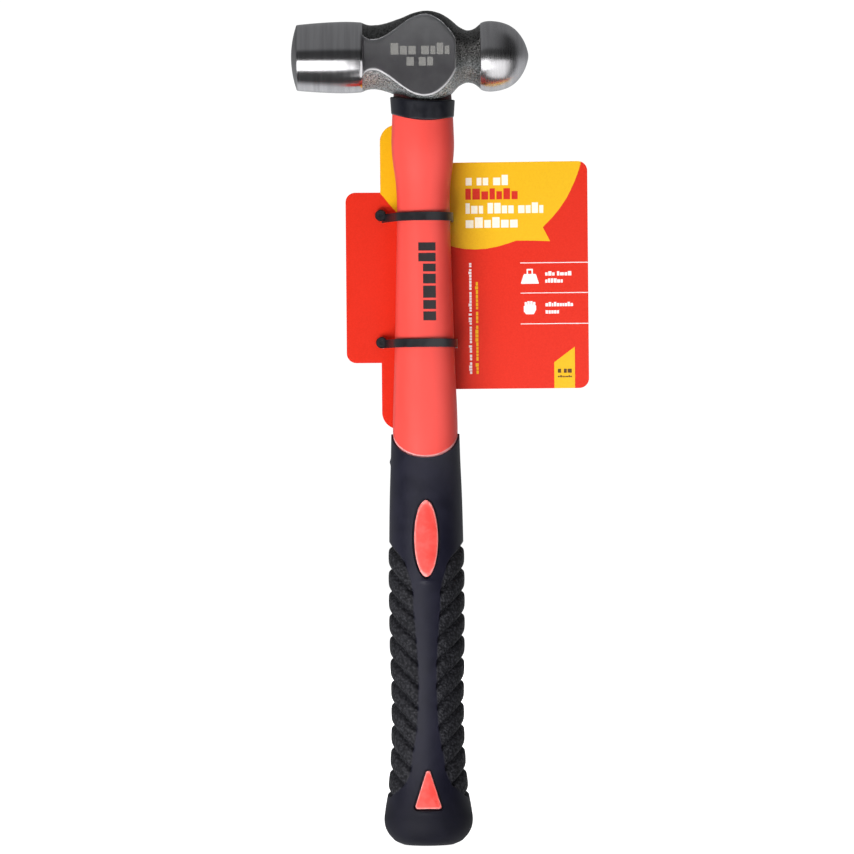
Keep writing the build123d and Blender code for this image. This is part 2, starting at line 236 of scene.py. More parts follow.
def mesh_object(name, verts_mm, faces, sharp_angle=40.0):
    """An object from points in millimetres, shaded smooth but for edges sharper than an angle."""
    mesh = bpy.data.meshes.new(name)
    mesh.from_pydata((np.asarray(verts_mm, float) * MM).tolist(), [], faces)
    mesh.update()
    work = bmesh.new()
    work.from_mesh(mesh)
    bmesh.ops.remove_doubles(work, verts=work.verts, dist=1e-7)
    bmesh.ops.recalc_face_normals(work, faces=work.faces)
    work.to_mesh(mesh)
    work.free()
    mesh.shade_smooth()
    mesh.set_sharp_from_angle(angle=math.radians(sharp_angle))
    return add_object(name, mesh)


def grid_faces(rows, columns, first=0):
    """Quads of a grid of points numbered row by row; each row closes on itself."""
    faces = []
    for r in range(rows - 1):
        for c in range(columns):
            d = (c + 1) % columns
            low, high = first + r * columns, first + (r + 1) * columns
            faces.append((low + c, low + d, high + d, high + c))
    return faces


def skin(name, rings, sharp_angle=40.0):
    """A closed skin over rings of points, each end closed by a fan."""
    rings = np.asarray(rings, float)
    rows, columns, _ = rings.shape
    verts = np.vstack([rings.reshape(-1, 3), rings[0].mean(0), rings[-1].mean(0)])
    faces = grid_faces(rows, columns)
    start, end = rows * columns, rows * columns + 1
    for c in range(columns):
        d = (c + 1) % columns
        faces.append((d, c, start))
        faces.append(((rows - 1) * columns + c, (rows - 1) * columns + d, end))
    return mesh_object(name, verts, faces, sharp_angle)


def cut(target, cutters, sharp_angle):
    """Takes the cutters' volume out of the target, then deletes them."""
    for cutter in cutters:
        change = target.modifiers.new("cut", "BOOLEAN")
        change.operation, change.solver, change.object = "DIFFERENCE", "EXACT", cutter
    graph = bpy.context.evaluated_depsgraph_get()
    mesh = bpy.data.meshes.new_from_object(target.evaluated_get(graph))
    old = target.data
    target.modifiers.clear()
    target.data = mesh
    bpy.data.meshes.remove(old)
    mesh.name = target.name
    mesh.set_sharp_from_angle(angle=math.radians(sharp_angle))
    for cutter in cutters:
        bpy.data.objects.remove(cutter)
    return target


def all_round(columns):
    """Angles evenly round a full turn."""
    return np.linspace(0, 2 * np.pi, columns, endpoint=False)


def oval_ring(z, half_x, half_y, columns):
    """A ring of points round an oval. The height and the half widths may change from point to point."""
    turns = all_round(columns)
    return np.stack([half_x * np.cos(turns), half_y * np.sin(turns), np.full(columns, z)], 1)


def points_mm(piece):
    """A piece's points, in millimetres."""
    mesh = piece.data
    co = np.empty(len(mesh.vertices) * 3)
    mesh.vertices.foreach_get("co", co)
    return co.reshape(-1, 3) / MM


def mark_points(piece, name, share):
    """Gives a piece's points a value each, for its material."""
    made = piece.data.attributes.new(name, "FLOAT", "POINT")
    made.data.foreach_set("value", share.astype(np.float32))


def dress(piece, material):
    piece.data.materials.clear()
    piece.data.materials.append(material)


def settle(piece, slot_name, body, material, *nodes):
    """Rides a piece on a body, dresses it and lets it stand for its CAD nodes. Its slot name is not used."""
    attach(piece, body)
    if nodes:
        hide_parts(*nodes)
    dress(piece, material)


# ---- head ----
def cheek_limit(x):
    """Half thickness that the grinding and the ball's neck leave at a place along the head."""
    step, rise = NECK_X - CHEEK_END, CHEEK - NECK_DEPTH
    radius = (step**2 + rise**2) / (2 * rise)
    inside = np.clip(radius**2 - (x - NECK_X) ** 2, 0, None)
    hollow = np.where(abs(x - NECK_X) < radius, NECK_DEPTH + radius - np.sqrt(inside), FAR_OUT)
    ledge = CHEEK_LEDGE * (1 - ease(x, POLL_END, CHEEK_START))
    return soft_min(CHEEK + ledge, hollow, 0.25)


def head_section(half_y, half_z, squareness, limit, bevel, per_quarter):
    """One quarter of a section, from the cheek to the top, with points gathered at the cheek's edge."""
    turn = np.linspace(0, np.pi / 2, 1500)
    y = half_y * np.cos(turn) ** (2 / squareness)
    z = half_z * np.sin(turn) ** (2 / squareness)
    edge = z[np.argmin(abs(y - limit))]
    y = soft_min(y, np.full_like(y, limit), bevel)
    gather = 1 + 5 * np.exp(-(((z - edge) / (0.5 + 0.4 * bevel)) ** 2)) * (half_y > limit)
    length = np.concatenate([[0], np.cumsum(np.hypot(np.diff(y), np.diff(z)) * gather[1:])])
    wanted = np.linspace(0, length[-1], per_quarter + 1)
    return np.interp(wanted, length, y), np.interp(wanted, length, z)


def head_ring(x, per_quarter=40):
    """A closed ring of the forged middle."""
    half_z, half_y, rise, squareness = (curve_through(FORGING, i)(x) for i in (1, 2, 3, 4))
    y, z = head_section(half_y, half_z, squareness, cheek_limit(x), 0.5, per_quarter)
    low_y, low_z = head_section(half_y, half_z, squareness, cheek_limit(x), LOW_BEVEL, per_quarter)
    ring_y = np.concatenate([q[:-1] for q in (-y, y[::-1], low_y, -low_y[::-1])])
    ring_z = np.concatenate([q[:-1] for q in (z, z[::-1], -low_z, -low_z[::-1])])
    return np.stack([np.full_like(ring_y, x), ring_y, ring_z + rise], 1)


def turned_rings(profile, angles):
    """Rings of a turned end: profile points (x, radius) swung round the head's axis."""
    across, up = np.cos(angles), np.sin(angles)
    return [np.stack([np.full_like(angles, x), r * across, r * up], 1) for x, r in profile]


def poll_profile():
    """From near the middle of the striking face, over its edge and back along the poll."""
    radii = np.concatenate([np.linspace(0.4, FACE_R - 0.3, 22), [FACE_R]])
    face = [(FACE_X + FACE_CROWN - math.sqrt(FACE_CROWN**2 - r * r), r) for r in radii]
    edge_x = face[-1][0]
    edge = []
    for t in np.linspace(0, np.pi / 2, 8)[1:]:
        edge.append((edge_x + RIM_DEPTH * (1 - math.cos(t)), FACE_R + (RIM_R - FACE_R) * math.sin(t)))
    rim_x = edge_x + RIM_DEPTH
    side = []
    for x in np.linspace(rim_x, POLL_END, 46)[1:]:
        to_widest = np.clip((x - rim_x) / (POLL_WIDEST - rim_x), 0, 1)
        past = np.clip((x - POLL_WIDEST) / (POLL_END - POLL_WIDEST), 0, 1)
        radius = RIM_R + (POLL_R - RIM_R) * (1 - (1 - to_widest) ** 1.7) - (POLL_R - POLL_END_R) * past**2
        side.append((x, radius))
    return face + edge + side


def ball_profile():
    """From the ball's square shoulder to near its tip."""
    reach = curve_through([(-turn, far) for turn, far in BALL_OUTLINE[1:3]] + BALL_OUTLINE, 1)
    fine = np.linspace(0, BALL_OUTLINE[-1][0], 2000)
    start = np.interp(BALL_X - BALL_START, -reach(fine) * np.cos(np.radians(fine)), fine)
    turns = np.linspace(start, 1.7, 60)
    far, angle = reach(turns), np.radians(turns)
    return list(zip(BALL_X + far * np.cos(angle), far * np.sin(angle)))


def head_rough(points):
    """1 where the forging is left rough, 0 on the turned and ground surfaces."""
    x, y = points[..., 0], np.abs(points[..., 1])
    middle = ease(x, POLL_END + 0.1, POLL_END + 0.7) * (1 - ease(x, BALL_START - 0.5, BALL_START - 0.1))
    ground = ease(y, CHEEK - 0.35, CHEEK - 0.2) * (1 - ease(x, CHEEK_END + 0.2, CHEEK_END + 0.5))
    return middle * (1 - ground)


def eye_cutter():
    """The eye's hole, from just below the head to above it."""
    half_x, half_y = curve_through(EYE, 1), curve_through(EYE, 2)
    heights = np.linspace(EYE[0][0] + 1, EYE[-1][0], 40)
    return skin("eye_cutter", [oval_ring(z, half_x(z), half_y(z), 160) for z in heights])


def make_head():
    stops = [POLL_END, CHEEK_START + 0.4, CHEEK_END - 0.5, CHEEK_END + 0.5, BALL_START]
    spans = [np.linspace(a, b, n)[1:] for a, b, n in zip(stops, stops[1:], (14, 84, 9, 36))]
    middle = [head_ring(x) for x in np.concatenate([[POLL_END]] + spans)]
    poll_angles = np.arctan2(middle[0][:, 2], middle[0][:, 1])
    ball_angles = np.arctan2(middle[-1][:, 2], middle[-1][:, 1])
    poll, ball = turned_rings(poll_profile()[:-1], poll_angles), turned_rings(ball_profile(), ball_angles)
    points = np.array(poll + middle + ball)
    outward = unit(points * (0, 1, 1))
    rough = head_rough(points)
    where = rough > 0.01
    lumps = np.zeros(rough.shape)
    lumps[where] = sum(height * noise_at(points[where] + along, size) for height, size, along in LUMPS)
    points += outward * (rough * lumps)[..., None]
    points[..., 2] = np.minimum(points[..., 2] + HEAD_AXIS, HEAD_HIGH[2] - 0.002)
    made = skin("head_forging", points, 32)
    return cut(made, [eye_cutter()], 32)


# ---- handle ----
jacket_x, jacket_y = curve_through(JACKET, 1), curve_through(JACKET, 2)
JACKET_Y_AT_GRIP = float(jacket_y(GRIP_TOP_FRONT))


def make_jacket():
    """The red jacket from inside the grip up into the head's eye, with its two moulding seams."""
    columns, rings = 240, []
    turns = all_round(columns)
    seam = SEAM_RISE * np.exp(-((np.sin(turns) * 10 / SEAM_WIDTH) ** 2))
    for z in np.linspace(JACKET[0][0], JACKET[-1][0], 260):
        ring = oval_ring(z, jacket_x(z), jacket_y(z), columns)
        ring[:, :2] *= (1 + seam / jacket_x(z))[:, None]
        rings.append(ring)
    return skin("jacket_shell", rings)


def held_below(curve, limit):
    """A curve that never passes a limit."""
    return lambda place: np.minimum(curve(place), limit)


grip_x = held_below(curve_through(GRIP, 1), GRIP_HIGH[0] - HAIR)
grip_y = held_below(curve_through(GRIP, 2), GRIP_HIGH[1] - HAIR)
spine_half = curve_through(SPINE, 1)


def grip_depth_at(x, z):
    """Half depth of the smooth grip surface at a place across and up."""
    return grip_y(z) * np.sqrt(np.clip(1 - (x / grip_x(z)) ** 2, 0, 1))


def panel_share(x, z, fade=0.6):
    """1 on the ribbed panels, 0 on the smooth spine, neck and butt."""
    inside = ease(np.abs(x) - spine_half(z), -0.15, fade)
    return inside * ease(z, SPINE[-1][0] - 0.6, SPINE[-1][0] + 0.8) * (1 - ease(z, 104.6, 106.2))


def rib_height(turns, x, z):
    """How far the surface stands off the smooth grip: rounded ribs with narrow grooves between."""
    round_from_side = np.degrees(np.arcsin(np.clip(np.abs(np.sin(turns)), 0, 1)))
    fall = GROOVE_FALL * round_from_side + GROOVE_STEEPEN * round_from_side**2
    along = (GROOVE_TOP - z - fall) / GROOVE_PITCH
    near = np.abs(along - np.round(along)) * GROOVE_PITCH
    ribbed = (along > -0.5) & (along < GROOVES - 0.4)
    groove = np.exp(-((near / GROOVE_HALF) ** 2) * 1.5) * ribbed
    belly = RIB_BELLY * np.sin(np.pi * (along - np.floor(along))) ** 0.8 * ribbed
    step = PANEL_STEP * panel_share(x, z, 0.5)
    return belly * panel_share(x, z, 3.2) - GROOVE_DEPTH * groove * panel_share(x, z, 0.7) - step


def small_lips(turns, x, z):
    """The raised lip under each window, and the nub where the mould parts on the left side."""
    made = np.zeros_like(x)
    facing = np.abs(np.sin(turns)) > 0.5
    for width, height, rise in WINDOW_LIPS:
        made += rise * np.exp(-((x / width) ** 2) - ((z - height) / 0.7) ** 2) * facing
    return made + NUB_RISE * np.exp(-((turns - np.pi) / 0.06) ** 2 - ((z - NUB_Z) / 0.9) ** 2)


def grip_top(turns):
    """Height of the grip's top edge round the handle."""
    return GRIP_TOP_SIDE - (GRIP_TOP_SIDE - GRIP_TOP_FRONT) * np.abs(np.sin(turns))


def oval_outline(margin, points=96):
    turns = all_round(points)
    return np.stack([(OVAL_X + margin) * np.cos(turns), OVAL_Z + (OVAL_H + margin) * np.sin(turns)], 1)


def wedge_outline(margin, per_corner=10):
    """A tall triangle with rounded corners, grown by a margin."""
    corners = np.array([(WEDGE_X, WEDGE_BOTTOM), (0, WEDGE_TOP), (-WEDGE_X, WEDGE_BOTTOM)])
    made = []
    for i, corner in enumerate(corners):
        before, after = unit(corners[i - 1] - corner), unit(corners[(i + 1) % 3] - corner)
        half = math.acos(np.clip(before @ after, -1, 1)) / 2
        inward = unit(before + after)
        centre = corner + inward * WEDGE_ROUND / math.sin(half)
        first = math.atan2(-inward[1], -inward[0])
        reach = np.pi / 2 - half
        for turn in np.linspace(first - reach, first + reach, per_corner):
            made.append(centre + (WEDGE_ROUND + margin) * np.array([math.cos(turn), math.sin(turn)]))
    return np.array(made)


def windows(margin=0.0):
    """Both windows' names, outlines grown by a margin, and middles."""
    return [("oval", oval_outline(margin), OVAL_Z), ("wedge", wedge_outline(margin), WEDGE_Z)]


def window_cutters():
    """Prisms that open the grip over each island, front and back."""
    made = []
    for _, outline, _ in windows(WINDOW_GAP):
        for side in (-1, 1):
            floor = grip_depth_at(outline[:, 0], outline[:, 1]) - WINDOW_DEPTH
            inner = np.stack([outline[:, 0], side * floor, outline[:, 1]], 1)
            outer = inner.copy()
            outer[:, 1] = side * (GRIP_HIGH[1] + 2.4)
            made.append(skin("window_cutter", [inner, outer]))
    return made


def make_grip():
    """The soft grip: smooth neck and spine, ribbed sides, flared butt, and a lip at the top."""
    columns, rows = 360, 520
    turns = all_round(columns)
    top = grip_top(turns)
    low_rows = np.array([0.0, 0.2, 0.5, 0.85, 1.3, 1.9, 2.6])
    rings = [oval_ring(0.0, grip_x(0) * s, grip_y(0) * s, columns) for s in (0.3, 0.6, 0.9)]
    rings += [oval_ring(z, grip_x(z), grip_y(z), columns) for z in low_rows]
    for share in np.linspace(0, 1, rows)[1:]:
        z = low_rows[-1] + share * (top - low_rows[-1])
        x, y = grip_x(z) * np.cos(turns), grip_y(z) * np.sin(turns)
        height = rib_height(turns, x, z) + small_lips(turns, x, z)
        norm = unit(np.stack([np.cos(turns) / grip_x(z), np.sin(turns) / grip_y(z)], 1))
        rings.append(np.stack([x + norm[:, 0] * height, y + norm[:, 1] * height, z], 1))
    for inset, lift in GRIP_LIP:
        rings.append(oval_ring(top + lift, grip_x(top) - inset, grip_y(top) - inset, columns))
    made = skin("grip_skin", rings, 50)
    return cut(made, window_cutters(), 35)


def island(name, outline, middle, side):
    """One red island: a slightly crowned pad with a rounded edge that fills a window."""
    centre = np.array([0.0, middle])
    made = []
    for share, lift in ISLAND:
        flat = centre + (outline - centre) * share
        depth = grip_depth_at(flat[:, 0], flat[:, 1]) - ISLAND_INSET + lift
        made.append(np.stack([flat[:, 0], side * depth, flat[:, 1]], 1))
    return skin(name, made, 50)


def make_collar():
    """The rubber ring: its edges dip at front and back, and all its corners are rounded."""
    columns = 200
    turns = all_round(columns)
    front = np.sin(turns) ** 2
    tilt = COLLAR_TILT * np.cos(turns)
    top = COLLAR_HIGH[2] - COLLAR_TILT - COLLAR_TOP_DIP * front - tilt
    bottom = top - COLLAR_HEIGHT - (COLLAR_BOTTOM_DIP - COLLAR_TOP_DIP) * front
    levels = [(inset, top - down) for inset, down in COLLAR_TOP_EDGE]
    levels += [(0.0, top + (bottom - top) * share) for share in np.linspace(0.1, 0.9, 12)]
    levels += [(inset, bottom + up) for inset, up in COLLAR_BOTTOM_EDGE]
    rings = []
    for inset, z in levels:
        inset = inset + COLLAR_TAPER * (top - z) / (top - bottom)
        rings.append(oval_ring(z, COLLAR_HIGH[0] - inset, COLLAR_HIGH[1] - inset, columns))
    rings.append(rings[0])
    return mesh_object("collar_ring", np.array(rings).reshape(-1, 3), grid_faces(len(rings), columns))


# ---- prints and marks ----
def card_face(x, z):
    """Depth of the card's front face: bowed behind the shaft, flat on the wings."""
    turn = CARD_BOW / CARD_BEND
    bow = CARD_BEND * math.sin(turn)
    centre = CARD_FACE - CARD_BEND
    inner = centre + np.sqrt(CARD_BEND**2 - np.minimum(np.abs(x), bow) ** 2)
    return inner - np.maximum(np.abs(x) - bow, 0) * math.tan(turn)


def jacket_face(x, z):
    """Depth of the jacket's front."""
    return -jacket_y(z) * np.sqrt(1 - (x / jacket_x(z)) ** 2)


def cheek_face(x, z):
    """Depth of the ground cheek at the front of the head."""
    return np.full(np.broadcast(x, z).shape, -CHEEK)


def bar(x0, x1, z0, z1):
    """A rectangle as a patch: rows of x, low z, high z."""
    x = np.linspace(x0, x1, max(2, int(abs(x1 - x0) / 0.6) + 2))
    return np.stack([x, np.full_like(x, z0), np.full_like(x, z1)], 1)


def patch(low, high, step=0.4):
    """A patch between a low and a high line of points (x, z) that run from left to right."""
    low, high = np.array(low), np.array(high)
    start, end = max(low[0, 0], high[0, 0]), min(low[-1, 0], high[-1, 0])
    x = np.linspace(start, end, int((end - start) / step) + 2)
    return np.stack([x, np.interp(x, low[:, 0], low[:, 1]), np.interp(x, high[:, 0], high[:, 1])], 1)


def printed(name, patches, surface, proud, sunk=0.08):
    """One object of thin closed plates that lie on a surface, a little proud of it."""
    verts, faces = [], []
    for rows in patches:
        first = len(verts)
        for x, low, high in rows:
            high = max(high, low + 0.02)
            y = surface(np.array([x, x]), np.array([low, high]))
            verts += [(x, y[0] - proud, low), (x, y[1] - proud, high)]
            verts += [(x, y[1] + sunk, high), (x, y[0] + sunk, low)]
        faces += grid_faces(len(rows), 4, first)
        last = len(verts) - 4
        faces += [(first, first + 1, first + 2, first + 3), (last + 3, last + 2, last + 1, last)]
    return mesh_object(name, verts, faces, 30)


def word_blocks(words, start, end, base, height, seed):
    """A row of plain blocks in word-like groups: start and end along it, low and high across. No letters."""
    dice = np.random.default_rng(seed)
    spans, at = [], 0.0
    for count in words:
        for _ in range(count):
            wide = dice.uniform(0.75, 1.35)
            tall = 1.0 if dice.random() < 0.3 else 0.74
            spans.append((at, at + wide, tall))
            at += wide + 0.24
        at += 0.62
    scale = (end - start) / spans[-1][1]
    return [(start + a * scale, start + b * scale, base, base + height * tall) for a, b, tall in spans]


def block_lines(*lines):
    """Rows of blocks that read from left to right, each given as word_blocks takes it."""
    return [bar(*span) for line in lines for span in word_blocks(*line)]


def block_column(words, start, end, right, height, seed):
    """A row of blocks turned a quarter turn, so that it climbs, with its foot line on the right."""
    spans = word_blocks(words, start, end, 0.0, height, seed)
    return [bar(right - (high - low), right, a, b) for a, b, low, high in spans]


# Lower edge of the yellow field from the tab across the right wing, and its pointed tail: x, z.
YELLOW_EDGE = [
    (-15.08, 227.5), (-13.7, 225.9), (-12.4, 224.2), (-10.7, 222.2), (-7.5, 218.9),
    (-3.0, 215.2), (2.0, 212.1), (7.0, 209.8), (10.6, 208.5), (14.0, 207.8),
    (18.0, 207.55), (22.0, 207.75), (26.0, 208.5), (29.5, 209.5), (33.3, 210.75),
    (37.5, 212.4), (41.76, 215.03), (43.6, 216.9), (45.1, 218.4), (47.6, 221.4),
    (50.0, 224.9), (51.6, 227.9), (53.2, 231.4), (54.4, 234.6), (55.2, 237.3),
]
TAIL_LOW = [(32.6, 210.5), (39.0, 210.4), (44.27, 210.15)]
TAIL_HIGH = [(32.6, 212.6), (41.6, 216.0), (41.76, 215.1), (43.0, 212.7), (44.27, 210.25)]
FLAG_LEFT, FLAG_RIGHT, FLAG_TOP_LEFT, FLAG_TOP_RIGHT = 45.38, 52.6, 167.7, 173.1
WING_ROUND, TAB_ROUND = 3.4, 6.0
WING_TOP, CARD_FOOT = 238.1, 158.6
TAB_LEFT, TAB_RIGHT = -15.1, 9.8
CARD_RULES = (202.62, 192.05, 181.25)


def round_corner(middle, radius, first, last):
    """Points of a corner's rounding, with turns in degrees from +X towards +Z."""
    turns = np.radians(np.linspace(first, last, 14))
    return [(middle[0] + radius * math.cos(t), middle[1] + radius * math.sin(t)) for t in turns]


def yellow_patches():
    """The yellow field: the tab, the balloon shape that spreads over the right wing, and the flag."""
    inset = 0.02
    centre_z = CARD_HIGH[2] - TAB_ROUND
    tab_top = round_corner((TAB_LEFT + TAB_ROUND, centre_z), TAB_ROUND - inset, 179, 90)
    tab_top += round_corner((TAB_RIGHT - TAB_ROUND, centre_z), TAB_ROUND - inset, 90, 1)
    corner = CARD_HIGH[0] - WING_ROUND, WING_TOP - WING_ROUND
    wing = [(TAB_RIGHT, WING_TOP - inset)] + round_corner(corner, WING_ROUND - inset, 90, 66)
    flag_low = [(FLAG_LEFT, CARD_FOOT + inset), (FLAG_RIGHT, CARD_FOOT + inset)]
    flag_high = [(FLAG_LEFT, FLAG_TOP_LEFT), (FLAG_RIGHT, FLAG_TOP_RIGHT)]
    return [patch(YELLOW_EDGE, tab_top), patch(YELLOW_EDGE, wing), patch(flag_low, flag_high)]


def pictograms():
    """A plain weight with its handle, and below it a plain hand: a palm and four fingers."""
    weight_high = [(34.0, 195.6), (35.0, 198.7), (39.2, 198.7), (40.2, 195.6)]
    made = [patch([(34.0, 195.3), (40.2, 195.3)], weight_high, 0.3)]
    made += [bar(36.0, 36.5, 198.7, 200.0), bar(37.7, 38.2, 198.7, 200.0), bar(36.0, 38.2, 200.0, 200.5)]
    palm_low = [(34.9, 185.6), (35.7, 184.6), (38.4, 184.6), (39.2, 186.2)]
    made.append(patch(palm_low, [(34.9, 187.4), (35.6, 188.0), (38.8, 188.0), (39.2, 187.6)], 0.3))
    made += [bar(35.2 + 0.98 * i, 36.0 + 0.98 * i, 188.0, 188.9 + 0.3 * (i in (1, 2))) for i in range(4)]
    return made


def white_patches():
    """Rules, the pictograms and rows of small blocks in white."""
    made = [bar(33.8, CARD_HIGH[0] - 0.03, z - 0.13, z + 0.13) for z in CARD_RULES]
    made += pictograms()
    made += block_lines(([3, 4], 42.5, 51.6, 198.1, 1.5, 11), ([6], 42.5, 48.6, 195.6, 1.5, 12))
    made += block_lines(([10], 42.5, 52.1, 187.3, 1.5, 13), ([5], 42.5, 47.2, 184.8, 1.5, 14))
    return made + block_column([4, 2, 3, 6, 3, 1, 7, 7, 2], 163.9, 202.8, 16.65, 1.05, 15)


def ink_patches():
    """Rows of blocks printed over the yellow field, by colour."""
    cream = block_lines(([1, 2, 2], 14.9, 29.7, 230.0, 3.6, 1), ([3, 4, 4], 14.8, 42.0, 220.1, 3.7, 3),
                        ([6], 14.8, 33.0, 215.1, 3.7, 4))
    red = block_lines(([7], 14.75, 33.1, 225.0, 3.9, 2))
    dark = block_lines(([1, 2], 46.6, 51.5, 164.0, 1.9, 6), ([7], 46.6, 51.5, 162.4, 0.7, 7))
    yellow = block_column([3, 9, 3, 7], 163.9, 196.1, 18.9, 1.0, 16)
    return cream, red, yellow, dark


def make_prints():
    """Everything printed or etched, each on the body it belongs to, with its two tones."""
    cream, red, yellow, flag_ink = ink_patches()
    yellow_tones = rgb(0.76, 0.415, 0.004), rgb(0.8, 0.455, 0.006)
    # Name, patches, how far they stand proud of the card, and two tones of ink.
    board = [
        ("yellow_field", yellow_patches(), 0.05, *yellow_tones),
        ("yellow_tail", [patch(TAIL_LOW, TAIL_HIGH)], 0.04, *yellow_tones),
        ("dark_print", flag_ink, 0.075, rgb(0.075, 0.03, 0.004), rgb(0.11, 0.045, 0.006)),
        ("white_print", white_patches(), 0.06, rgb(0.84, 0.8, 0.8), rgb(0.9, 0.86, 0.86)),
        ("cream_print", cream, 0.075, rgb(0.88, 0.82, 0.66), rgb(0.93, 0.88, 0.74)),
        ("red_print", red, 0.075, rgb(0.55, 0.02, 0.008), rgb(0.62, 0.028, 0.012)),
        ("yellow_print", yellow, 0.06, *yellow_tones),
    ]
    for name, patches, proud, low, high in board:
        settle(printed(name, patches, card_face, proud), "card_print", "card", ink_look(name, low, high))
    blocks = block_column([7], 182.4, 209.5, 4.1, 6.0, 8)
    ink = mark_look("sleeve_mark", rgb(0.01, 0.008, 0.01), rgb(0.02, 0.014, 0.016))
    settle(printed("sleeve_mark", blocks, jacket_face, 0.03, 0.2), "red_plastic", "hammer", ink)
    blocks = block_lines(([3, 4], -10.9, 9.5, 274.6, 4.0, 9), ([1, 2], -5.4, 3.8, 270.7, 3.0, 10))
    etched = mark_look("cheek_mark", rgb(0.23, 0.225, 0.215), rgb(0.31, 0.305, 0.29), 0.62, 0.35)
    settle(printed("cheek_mark", blocks, cheek_face, 0.012, 0.2), "forged_steel", "hammer", etched)


# ---- materials ----
class Graph:
    """A node tree, with short calls for its nodes."""

    def __init__(self, tree, place):
        self.tree = tree
        self.place = tree.nodes.new("ShaderNodeTexCoord").outputs[place]

    def link(self, value, socket):
        if isinstance(value, bpy.types.NodeSocket):
            self.tree.links.new(value, socket)
        elif isinstance(value, bpy.types.Node):
            self.tree.links.new(value.outputs[0], socket)
        else:
            socket.default_value = value

    def node(self, kind, settings=None, **inputs):
        """A node with its settings; each input is named, or numbered as in i0."""
        made = self.tree.nodes.new("ShaderNode" + kind)
        for key, value in (settings or {}).items():
            setattr(made, key, value)
        for key, value in inputs.items():
            socket = made.inputs[int(key[1:])] if key[1:].isdigit() else made.inputs[key.replace("_", " ")]
            self.link(value, socket)
        return made

    def math(self, operation, a, b=0.0, c=0.0):
        return self.node("Math", {"operation": operation}, i0=a, i1=b, i2=c).outputs[0]

    def times(self, a, b):
        return self.math("MULTIPLY", a, b)

    def ramp(self, value, low, high, to_low=0.0, to_high=1.0, kind="SMOOTHSTEP"):
        settings = {"interpolation_type": kind, "clamp": True}
        return self.node("MapRange", settings, i0=value, i1=low, i2=high, i3=to_low, i4=to_high).outputs[0]


class Look(Graph):
    """A procedural material."""

    def __init__(self, name):
        self.material = bpy.data.materials.new(name)
        self.material.use_nodes = True
        self.shader = self.material.node_tree.nodes["Principled BSDF"]
        super().__init__(self.material.node_tree, "Object")

    def scaled(self, factors):
        """The place in the part, each axis multiplied."""
        return self.node("VectorMath", {"operation": "MULTIPLY"}, i0=self.place, i1=factors)

    def noise(self, size_mm, detail=3.0, rough=0.55, stretch=(1, 1, 1)):
        """Noise whose features are about size_mm, drawn out along an axis where stretch is over 1."""
        at = self.scaled([1 / (MM * s) for s in stretch])
        made = self.node("TexNoise", Vector=at, Scale=1 / size_mm, Detail=detail, Roughness=rough)
        return made.outputs["Fac"]

    def mix(self, share, a, b):
        """A colour between two."""
        return self.node("Mix", {"data_type": "RGBA"}, i0=share, i6=a, i7=b).outputs[2]

    def tones(self, noise, low, high):
        """Colour that wavers between two with a noise."""
        return self.mix(self.ramp(noise, 0.3, 0.7), low, high)

    def blend(self, share, a, b):
        """A number between two."""
        return self.node("Mix", {"data_type": "FLOAT"}, i0=share, i2=a, i3=b).outputs[0]

    def axes(self):
        """The place in the part along X, Y and Z, in millimetres."""
        split = self.node("SeparateXYZ", i0=self.place)
        return [self.times(split.outputs[i], 1 / MM) for i in range(3)]

    def bump(self, height, distance_mm, strength=1.0, under=None):
        made = self.node("Bump", Height=height, Distance=distance_mm * MM, Strength=strength)
        if under is not None:
            self.link(under, made.inputs["Normal"])
        return made.outputs[0]

    def set(self, **inputs):
        for key, value in inputs.items():
            self.link(value, self.shader.inputs[key.replace("_", " ")])

    def finish(self, noise, low, high, gloss, normal, specular=0.5):
        """Lets one noise move both the colour and the roughness, and gives the material."""
        roughness = self.ramp(noise, 0.3, 0.7, *gloss)
        self.set(Base_Color=self.tones(noise, low, high), Roughness=roughness, Normal=normal)
        self.set(Specular_IOR_Level=specular)
        return self.material


def rgb(r, g, b):
    return (r, g, b, 1.0)


